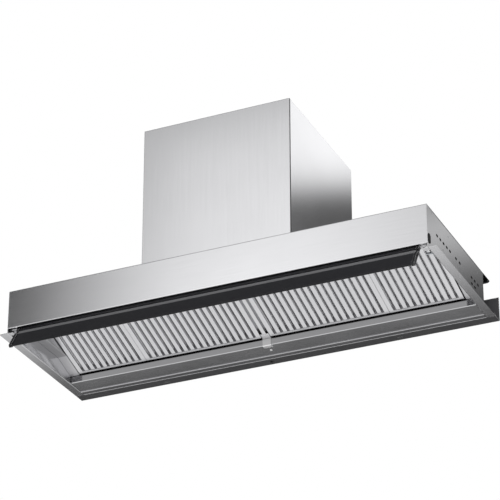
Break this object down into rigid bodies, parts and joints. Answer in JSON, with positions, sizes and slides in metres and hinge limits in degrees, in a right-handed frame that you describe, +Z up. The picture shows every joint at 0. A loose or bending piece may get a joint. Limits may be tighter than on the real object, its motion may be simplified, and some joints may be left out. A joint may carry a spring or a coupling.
{
  "type": "wall mount range hood",
  "caption": "Wide box canopy range hood with a swing-out front visor, sloping baffle filters, an open-topped square chimney, and a blower with a round duct collar.",
  "frame": {"origin": "middle of the row of wall fixings, in the plane of the house wall", "axes": "+X along the hood to the right for someone facing it, +Y into the wall, +Z up"},
  "size_m": [1.248, 0.5076, 0.6044],
  "materials": {
    "canopy_steel": "fine horizontal brushing, satin",
    "filter_steel": "satin, lightly brushed",
    "black_paint": "matt black powder coat",
    "visor_aluminium": "black anodised, satin",
    "grey_aluminium": "grey anodised, satin",
    "black_rubber": "foam strip",
    "galvanised": "zinc plated, faint spangle",
    "aluminium": "plain rolled",
    "lamp_diffuser": "frosted white",
    "magnet": "dark ceramic magnet",
    "motor_housing": "cast, as made",
    "grey_plastic": "fine grain",
    "black_plastic": "fine grain"
  },
  "bodies": {
    "canopy": {"fascia": "canopy_steel", "left_side_wall": "canopy_steel", "right_side_wall": "canopy_steel", "rear_wall": "canopy_steel", "top_plate": "canopy_steel", "rear_ledge": "canopy_steel", "left_side_channel": "canopy_steel", "right_side_channel": "canopy_steel", "lamp_panel": "canopy_steel", "filter_rod": "canopy_steel", "canopy_rivets": "canopy_steel", "chimney_front": "canopy_steel", "chimney_left_side": "canopy_steel", "chimney_right_side": "canopy_steel", "chimney_screws": "canopy_steel", "centre_rail": "filter_steel", "centre_tab": "filter_steel", "wall_strip": "black_paint", "wall_rail": "black_paint", "left_visor_bracket": "black_paint", "right_visor_bracket": "black_paint", "visor_stops": "galvanised", "canopy_screws": "galvanised", "chimney_wall_bracket": "galvanised", "blower_box": "galvanised", "blower_housing": "galvanised", "motor_mount": "galvanised", "lamp_board": "aluminium", "lamp_lens": "lamp_diffuser", "filter_magnets": "magnet", "motor": "motor_housing", "duct_collar": "grey_plastic", "flap_axle": "canopy_steel", "control_box": "grey_plastic", "cable_gland": "black_plastic", "chimney_seals": "black_rubber"},
    "visor": {"visor_blade": "visor_aluminium", "visor_trim": "grey_aluminium", "visor_left_cap": "black_plastic", "visor_right_cap": "black_plastic", "visor_left_pin": "canopy_steel", "visor_right_pin": "canopy_steel"},
    "left_outer_filter": {"left_outer_filter_frame": "filter_steel", "left_outer_filter_front_baffles": "filter_steel", "left_outer_filter_rear_baffles": "filter_steel"},
    "left_inner_filter": {"left_inner_filter_frame": "filter_steel", "left_inner_filter_front_baffles": "filter_steel", "left_inner_filter_rear_baffles": "filter_steel"},
    "right_inner_filter": {"right_inner_filter_frame": "filter_steel", "right_inner_filter_front_baffles": "filter_steel", "right_inner_filter_rear_baffles": "filter_steel"},
    "right_outer_filter": {"right_outer_filter_frame": "filter_steel", "right_outer_filter_front_baffles": "filter_steel", "right_outer_filter_rear_baffles": "filter_steel"},
    "fan_wheel": {"impeller": "black_plastic", "impeller_shaft": "canopy_steel"},
    "left_damper": {"left_flap": "aluminium"},
    "right_damper": {"right_flap": "aluminium"}
  },
  "joints": [
    {"name": "visor_hinge", "type": "hinge", "parent": "canopy", "child": "visor", "pos_m": [0, -0.459, -0.03], "axis": [1, 0, 0], "range_deg": [0, 122]},
    {"name": "left_outer_filter_hinge", "type": "hinge", "parent": "canopy", "child": "left_outer_filter", "pos_m": [-0.466, -0.3895, 0.069], "axis": [1, 0, 0], "range_deg": [-60, 0]},
    {"name": "left_inner_filter_hinge", "type": "hinge", "parent": "canopy", "child": "left_inner_filter", "pos_m": [-0.187, -0.3895, 0.069], "axis": [1, 0, 0], "range_deg": [-60, 0]},
    {"name": "right_inner_filter_hinge", "type": "hinge", "parent": "canopy", "child": "right_inner_filter", "pos_m": [0.187, -0.3895, 0.069], "axis": [1, 0, 0], "range_deg": [-60, 0]},
    {"name": "right_outer_filter_hinge", "type": "hinge", "parent": "canopy", "child": "right_outer_filter", "pos_m": [0.466, -0.3895, 0.069], "axis": [1, 0, 0], "range_deg": [-60, 0]},
    {"name": "fan_spin", "type": "hinge", "parent": "canopy", "child": "fan_wheel", "pos_m": [0, -0.23541, 0.22651], "axis": [1, 0, 0], "continuous": true},
    {"name": "left_damper_hinge", "type": "hinge", "parent": "canopy", "child": "left_damper", "pos_m": [0, -0.1479, 0.38801], "axis": [0, 1, 0], "range_deg": [0, 75]},
    {"name": "right_damper_hinge", "type": "hinge", "parent": "canopy", "child": "right_damper", "pos_m": [0, -0.1479, 0.38801], "axis": [0, -1, 0], "range_deg": [0, 75]}
  ]
}
